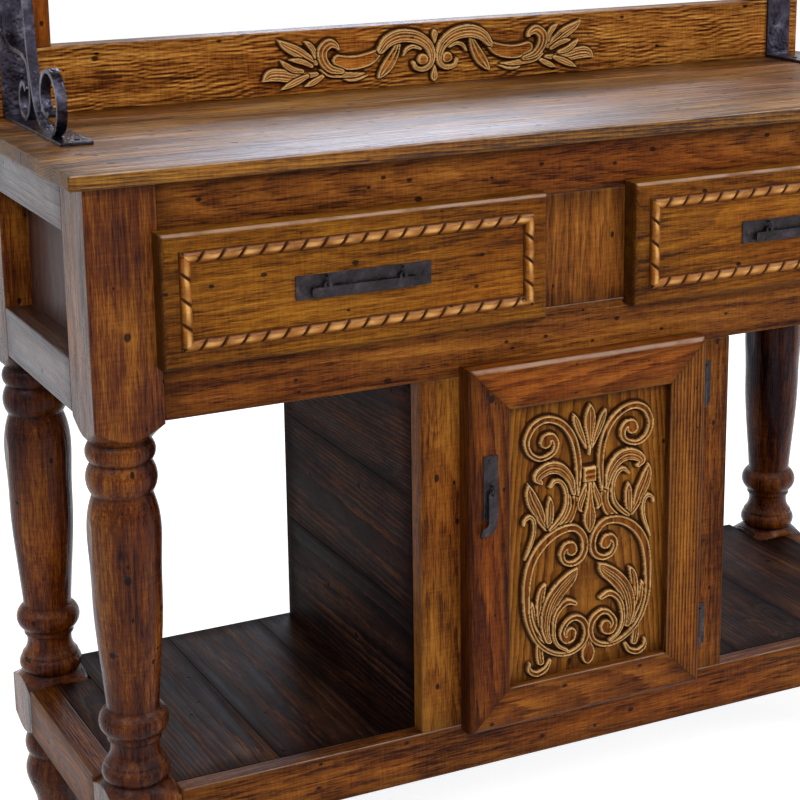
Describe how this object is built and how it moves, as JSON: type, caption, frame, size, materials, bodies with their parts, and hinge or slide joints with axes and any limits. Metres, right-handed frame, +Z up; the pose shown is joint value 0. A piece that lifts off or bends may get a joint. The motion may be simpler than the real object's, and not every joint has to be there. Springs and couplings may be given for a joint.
{
  "type": "rustic sideboard with hutch back",
  "caption": "Rustic stained pine sideboard with turned legs, two drawers, carved cabinet door, open shelf and a low hutch on iron scroll brackets.",
  "frame": {"origin": "middle of the whole sideboard on the floor", "axes": "+Z up, -Y towards the front with the drawers and the door, +X to the right seen from the front"},
  "size_m": [1.378, 0.517, 1.459],
  "materials": {
    "stained_pine": "golden brown stain under a satin lacquer, distressed edges",
    "dark_pine": "very dark walnut stain, satin",
    "carved_pine": "carved, dark glaze in the hollows, rubbed tan edges",
    "rope_pine": "rope carving with rubbed tan crests and dark grooves",
    "drawer_pine": "plain waxed pine",
    "wrought_iron": "hammered black iron, waxed"
  },
  "bodies": {
    "case": {"back_panel": "dark_pine", "backsplash": "stained_pine", "backsplash_carving": "carved_pine", "bracket_left": "wrought_iron", "bracket_right": "wrought_iron", "bracket_screws": "wrought_iron", "cabinet_back": "dark_pine", "cabinet_ceiling": "dark_pine", "cabinet_side_left": "dark_pine", "cabinet_side_right": "dark_pine", "cabinet_stile_left": "stained_pine", "cabinet_stile_right": "stained_pine", "centre_stile": "stained_pine", "door_hinges_fixed": "wrought_iron", "drawer_guides": "drawer_pine", "front_lower_rail": "stained_pine", "front_upper_rail": "stained_pine", "hutch_post_left": "stained_pine", "hutch_post_right": "stained_pine", "leg_front_left": "stained_pine", "leg_front_right": "stained_pine", "leg_rear_left": "stained_pine", "leg_rear_right": "stained_pine", "rear_lower_rail": "stained_pine", "rear_upper_rail": "stained_pine", "shelf_boards": "dark_pine", "shelf_cleats": "dark_pine", "shelf_front_rail": "stained_pine", "shelf_rear_rail": "stained_pine", "shelf_stretcher_left": "stained_pine", "shelf_stretcher_right": "stained_pine", "side_lower_rail_left": "stained_pine", "side_lower_rail_right": "stained_pine", "side_panel_left": "stained_pine", "side_panel_right": "stained_pine", "side_upper_rail_left": "stained_pine", "side_upper_rail_right": "stained_pine", "top_slab": "stained_pine", "upper_shelf": "stained_pine"},
    "door": {"door_stile_left": "stained_pine", "door_stile_right": "stained_pine", "door_top_rail": "stained_pine", "door_bottom_rail": "stained_pine", "door_panel": "stained_pine", "door_carving": "carved_pine", "door_hinges_moving": "wrought_iron", "door_pull_plate": "wrought_iron"},
    "door_pull": {"door_pull": "wrought_iron"},
    "drawer_left": {"drawer_left_front": "stained_pine", "drawer_left_box": "drawer_pine", "drawer_left_bottom": "drawer_pine", "drawer_left_rope_moulding": "rope_pine", "drawer_left_handle_plate": "wrought_iron"},
    "drawer_left_handle": {"drawer_left_handle": "wrought_iron"},
    "drawer_right": {"drawer_right_front": "stained_pine", "drawer_right_box": "drawer_pine", "drawer_right_bottom": "drawer_pine", "drawer_right_rope_moulding": "rope_pine", "drawer_right_handle_plate": "wrought_iron"},
    "drawer_right_handle": {"drawer_right_handle": "wrought_iron"}
  },
  "joints": [
    {"name": "drawer_left_slide", "type": "slide", "parent": "case", "child": "drawer_left", "axis": [0, -1, 0], "range_m": [0, 0.28]},
    {"name": "drawer_left_handle_swing", "type": "hinge", "parent": "drawer_left", "child": "drawer_left_handle", "pos_m": [-0.326, -0.2466, 0.865], "axis": [-1, 0, 0], "range_deg": [0, 70]},
    {"name": "drawer_right_slide", "type": "slide", "parent": "case", "child": "drawer_right", "axis": [0, -1, 0], "range_m": [0, 0.28]},
    {"name": "drawer_right_handle_swing", "type": "hinge", "parent": "drawer_right", "child": "drawer_right_handle", "pos_m": [0.326, -0.2466, 0.865], "axis": [-1, 0, 0], "range_deg": [0, 70]},
    {"name": "door_swing", "type": "hinge", "parent": "case", "child": "door", "pos_m": [0.1885, -0.2275, 0.4675], "axis": [0, 0, 1], "range_deg": [0, 110]},
    {"name": "door_pull_swing", "type": "hinge", "parent": "door", "child": "door_pull", "pos_m": [-0.153, -0.2511, 0.559], "axis": [-1, 0, 0], "range_deg": [0, 70]}
  ]
}
